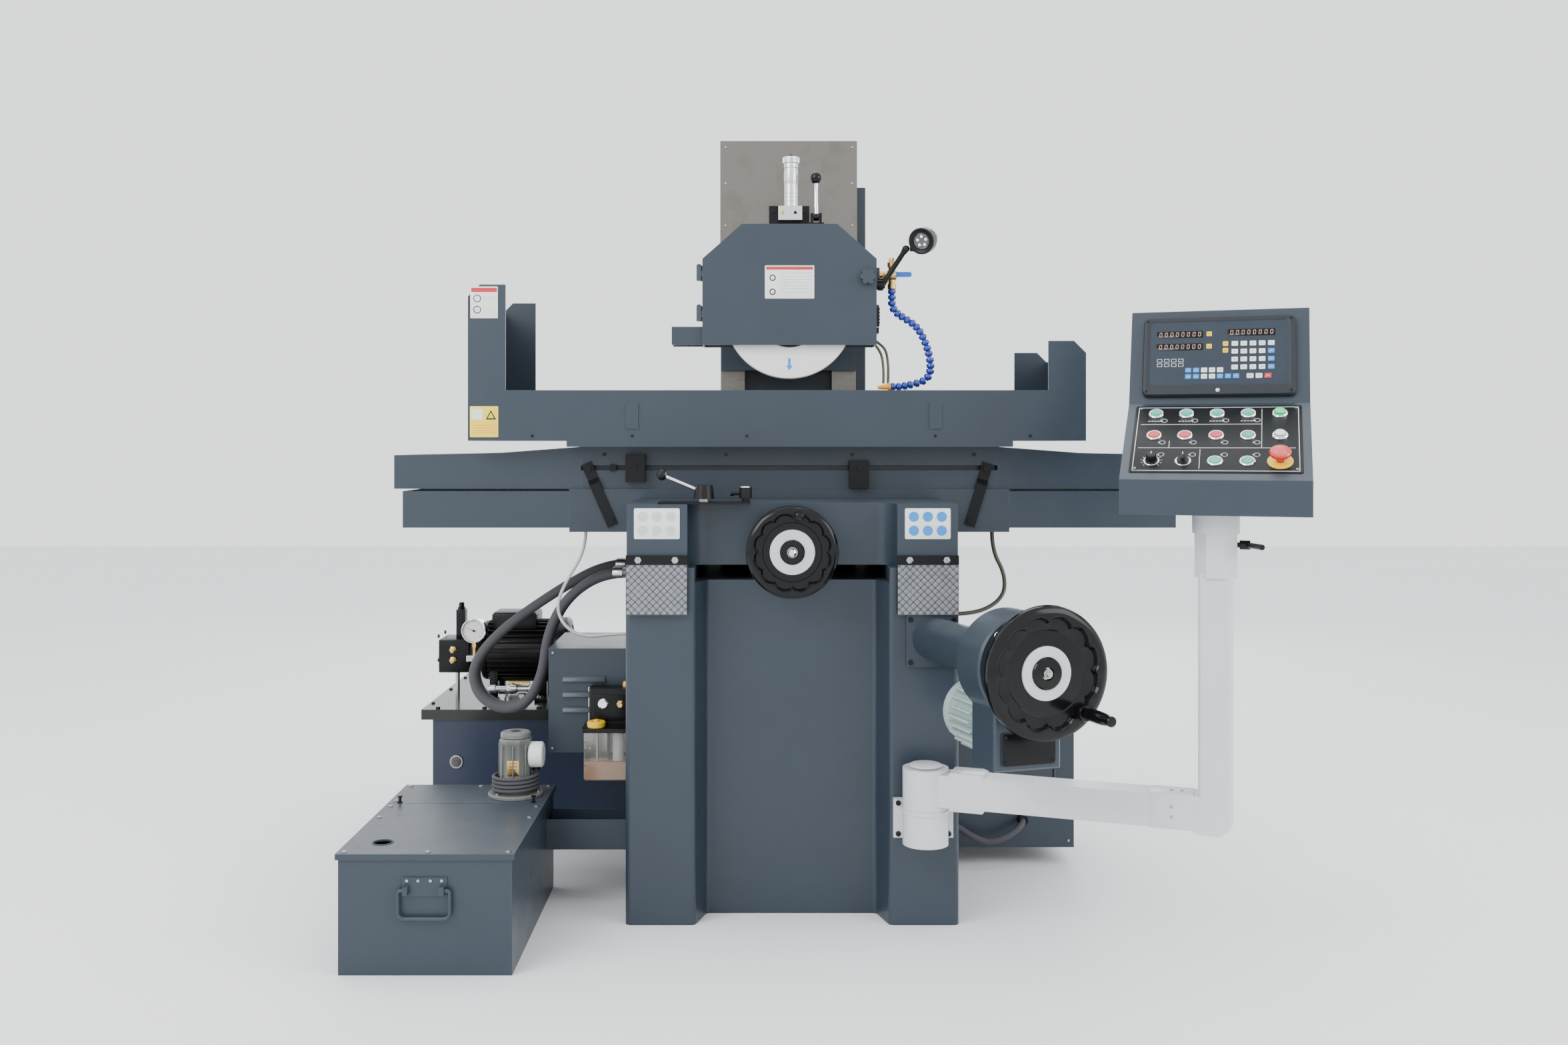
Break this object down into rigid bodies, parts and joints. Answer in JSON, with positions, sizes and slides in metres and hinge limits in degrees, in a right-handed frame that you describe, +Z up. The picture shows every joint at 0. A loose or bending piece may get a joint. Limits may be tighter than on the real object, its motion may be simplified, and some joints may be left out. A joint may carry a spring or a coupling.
{
  "type": "surface grinder",
  "caption": "Hydraulic surface grinder: moving table with magnetic chuck and splash pan, grinding head on a column, swinging control console, coolant and hydraulic tanks.",
  "frame": {"origin": "middle of the bed casting's footprint, on the floor", "axes": "+X to the operator's right along the table's travel, +Y away from the operator, +Z up"},
  "size_m": [1.994, 1.8035, 1.832],
  "materials": {
    "slate_paint": "satin enamel",
    "dark_blue_paint": "gloss enamel",
    "white_paint": "satin powder coat",
    "grey_paint": "satin powder coat",
    "green_paint": "satin enamel",
    "black_paint": "satin",
    "ground_iron": "ground ways, painted sides",
    "ground_steel": "ground",
    "stainless": "brushed",
    "chrome": "polished",
    "rubber": "matt",
    "grey_rubber": "diamond pattern",
    "abrasive": "rough grit",
    "black_plastic": "gloss",
    "green_plastic": "gloss",
    "red_plastic": "gloss",
    "clear_plastic": "clear reservoir under a black pump",
    "blue_plastic": "gloss"
  },
  "bodies": {
    "base": {"base_casting": "slate_paint", "column": "ground_iron", "electrical_cabinet": "slate_paint", "hydraulic_tank": "dark_blue_paint", "hydraulic_power_unit": "slate_paint", "louvred_box": "slate_paint", "oiler": "clear_plastic", "coolant_tank": "slate_paint", "coolant_pump": "grey_paint", "pump_cord_coil": "rubber", "lift_housing": "slate_paint", "lift_motor": "green_paint", "arm_bracket": "white_paint", "hydraulic_hoses": "rubber", "service_lines": "rubber"},
    "saddle": {"saddle_casting": "slate_paint", "cylinder_covers": "slate_paint", "apron_fittings": "grey_rubber"},
    "table": {"table_casting": "slate_paint", "table_way_covers": "slate_paint", "magnetic_chuck": "ground_steel", "splash_guards": "slate_paint", "table_dogs": "black_paint"},
    "head": {"head_casting": "slate_paint", "column_way_cover": "stainless", "wheel_guard": "slate_paint", "dresser_block": "ground_steel", "coolant_line": "blue_plastic"},
    "wheel": {"grinding_wheel": "abrasive", "wheel_spindle": "ground_steel"},
    "console": {"console_box": "slate_paint", "dro_unit": "grey_paint"},
    "cross_handwheel": {"cross_handwheel": "black_plastic"},
    "lift_handwheel": {"lift_handwheel": "black_plastic"},
    "lift_grip": {"lift_grip": "black_plastic"},
    "table_lever": {"table_lever": "black_plastic"},
    "reversing_knob": {"reversing_knob": "black_plastic"},
    "guard_door": {"guard_door": "slate_paint"},
    "dresser_dial": {"dresser_dial": "chrome"},
    "dresser_lever": {"dresser_lever": "chrome"},
    "lamp_arm": {"lamp_arm": "black_plastic"},
    "lamp_head": {"lamp_head": "black_plastic"},
    "valve_handle": {"valve_handle": "blue_plastic"},
    "console_arm": {"console_arm": "white_paint"},
    "clamp_lever": {"clamp_lever": "black_plastic"},
    "emergency_stop": {"emergency_stop": "red_plastic"},
    "speed_knob": {"speed_knob": "black_plastic"},
    "mode_selector": {"mode_selector": "black_plastic"},
    "start_button_1": {"start_button_1": "green_plastic"},
    "start_button_2": {"start_button_2": "green_plastic"},
    "start_button_3": {"start_button_3": "green_plastic"},
    "start_button_4": {"start_button_4": "green_plastic"},
    "start_button_5": {"start_button_5": "green_plastic"},
    "start_button_6": {"start_button_6": "green_plastic"},
    "start_button_7": {"start_button_7": "green_plastic"},
    "stop_button_1": {"stop_button_1": "red_plastic"},
    "stop_button_2": {"stop_button_2": "red_plastic"},
    "stop_button_3": {"stop_button_3": "red_plastic"},
    "cabinet_door": {"cabinet_door": "slate_paint"},
    "tank_handle": {"tank_handle": "chrome"}
  },
  "joints": [
    {"name": "cross_travel", "type": "slide", "parent": "base", "child": "saddle", "axis": [0, 1, 0], "range_m": [-0.25, 0]},
    {"name": "table_travel", "type": "slide", "parent": "saddle", "child": "table", "axis": [1, 0, 0], "range_m": [-0.33, 0.33]},
    {"name": "head_lift", "type": "slide", "parent": "base", "child": "head", "axis": [0, 0, 1], "range_m": [-0.05, 0.25]},
    {"name": "wheel_spin", "type": "hinge", "parent": "head", "child": "wheel", "pos_m": [0, -0.226, 1.345], "axis": [0, 1, 0], "continuous": true},
    {"name": "cross_wheel_turn", "type": "hinge", "parent": "saddle", "child": "cross_handwheel", "pos_m": [0, -0.52, 0.805], "axis": [0, -1, 0], "continuous": true},
    {"name": "lift_wheel_turn", "type": "hinge", "parent": "base", "child": "lift_handwheel", "pos_m": [0.44415, -0.97749, 0.619], "axis": [0.309, -0.9511, 0], "continuous": true},
    {"name": "lift_grip_spin", "type": "hinge", "parent": "lift_handwheel", "child": "lift_grip", "pos_m": [0.54257, -1.04014, 0.54475], "axis": [0.309, -0.9511, 0], "continuous": true},
    {"name": "table_lever_swing", "type": "hinge", "parent": "saddle", "child": "table_lever", "pos_m": [-0.192, -0.497, 0.92], "axis": [0, 0, 1], "range_deg": [-35, 35]},
    {"name": "reversing_knob_turn", "type": "hinge", "parent": "saddle", "child": "reversing_knob", "pos_m": [-0.101, -0.497, 0.92], "axis": [0, 0, 1], "range_deg": [-45, 45]},
    {"name": "guard_door_hinge", "type": "hinge", "parent": "head", "child": "guard_door", "pos_m": [-0.213, -0.2643, 1.4], "axis": [0, 0, 1], "range_deg": [-110, 0]},
    {"name": "dresser_dial_turn", "type": "hinge", "parent": "head", "child": "dresser_dial", "pos_m": [0.004, -0.236, 1.68], "axis": [0, 0, 1], "continuous": true},
    {"name": "dresser_lever_swing", "type": "hinge", "parent": "head", "child": "dresser_lever", "pos_m": [0.064, -0.226, 1.577], "axis": [1, 0, 0], "range_deg": [-30, 30]},
    {"name": "lamp_arm_tilt", "type": "hinge", "parent": "head", "child": "lamp_arm", "pos_m": [0.215, -0.24, 1.415], "axis": [1, 0, 0], "range_deg": [-25, 25]},
    {"name": "lamp_head_tilt", "type": "hinge", "parent": "lamp_arm", "child": "lamp_head", "pos_m": [0.29, -0.272, 1.495], "axis": [1, 0, 0], "range_deg": [-40, 40]},
    {"name": "valve_turn", "type": "hinge", "parent": "head", "child": "valve_handle", "pos_m": [0.246, -0.22, 1.441], "axis": [0, 1, 0], "range_deg": [0, 90]},
    {"name": "console_arm_swing", "type": "hinge", "parent": "base", "child": "console_arm", "pos_m": [0.279, -0.61, 0.316], "axis": [0, 0, 1], "range_deg": [-30, 0]},
    {"name": "console_swivel", "type": "hinge", "parent": "console_arm", "child": "console", "pos_m": [0.8259, -0.80906, 0.9], "axis": [0, 0, 1], "range_deg": [-30, 30]},
    {"name": "clamp_lever_turn", "type": "hinge", "parent": "console_arm", "child": "clamp_lever", "pos_m": [0.87289, -0.82616, 0.8403], "axis": [0.9397, -0.342, 0], "range_deg": [-20, 60]},
    {"name": "emergency_stop_press", "type": "slide", "parent": "console", "child": "emergency_stop", "axis": [0.2026, 0.5567, -0.8057], "range_m": [0, 0.005]},
    {"name": "speed_knob_turn", "type": "hinge", "parent": "console", "child": "speed_knob", "pos_m": [0.69453, -0.82499, 1.00319], "axis": [-0.2026, -0.5567, 0.8057], "range_deg": [-135, 135]},
    {"name": "mode_selector_turn", "type": "hinge", "parent": "console", "child": "mode_selector", "pos_m": [0.74997, -0.84517, 1.00319], "axis": [-0.2026, -0.5567, 0.8057], "range_deg": [-45, 45]},
    {"name": "start_press_1", "type": "slide", "parent": "console", "child": "start_button_1", "axis": [0.2026, 0.5567, -0.8057], "range_m": [0, 0.003], "stiffness_N_per_m": 400},
    {"name": "start_press_2", "type": "slide", "parent": "console", "child": "start_button_2", "axis": [0.2026, 0.5567, -0.8057], "range_m": [0, 0.003], "stiffness_N_per_m": 400},
    {"name": "start_press_3", "type": "slide", "parent": "console", "child": "start_button_3", "axis": [0.2026, 0.5567, -0.8057], "range_m": [0, 0.003], "stiffness_N_per_m": 400},
    {"name": "start_press_4", "type": "slide", "parent": "console", "child": "start_button_4", "axis": [0.2026, 0.5567, -0.8057], "range_m": [0, 0.003], "stiffness_N_per_m": 400},
    {"name": "start_press_5", "type": "slide", "parent": "console", "child": "start_button_5", "axis": [0.2026, 0.5567, -0.8057], "range_m": [0, 0.003], "stiffness_N_per_m": 400},
    {"name": "start_press_6", "type": "slide", "parent": "console", "child": "start_button_6", "axis": [0.2026, 0.5567, -0.8057], "range_m": [0, 0.003], "stiffness_N_per_m": 400},
    {"name": "start_press_7", "type": "slide", "parent": "console", "child": "start_button_7", "axis": [0.2026, 0.5567, -0.8057], "range_m": [0, 0.003], "stiffness_N_per_m": 400},
    {"name": "stop_press_1", "type": "slide", "parent": "console", "child": "stop_button_1", "axis": [0.2026, 0.5567, -0.8057], "range_m": [0, 0.003], "stiffness_N_per_m": 400},
    {"name": "stop_press_2", "type": "slide", "parent": "console", "child": "stop_button_2", "axis": [0.2026, 0.5567, -0.8057], "range_m": [0, 0.003], "stiffness_N_per_m": 400},
    {"name": "stop_press_3", "type": "slide", "parent": "console", "child": "stop_button_3", "axis": [0.2026, 0.5567, -0.8057], "range_m": [0, 0.003], "stiffness_N_per_m": 400},
    {"name": "cabinet_door_hinge", "type": "hinge", "parent": "base", "child": "cabinet_door", "pos_m": [0.653, -0.1213, 0.33], "axis": [0, 0, 1], "range_deg": [0, 110]},
    {"name": "tank_handle_swing", "type": "hinge", "parent": "base", "child": "tank_handle", "pos_m": [-0.7235, -0.835, 0.168], "axis": [-1, 0, 0], "range_deg": [0, 85]}
  ],
  "couplings": [
    {"joint": "cross_wheel_turn", "follows": "cross_travel", "rad_per_m": 1256.6},
    {"joint": "lift_wheel_turn", "follows": "head_lift", "rad_per_m": 1256.6}
  ]
}
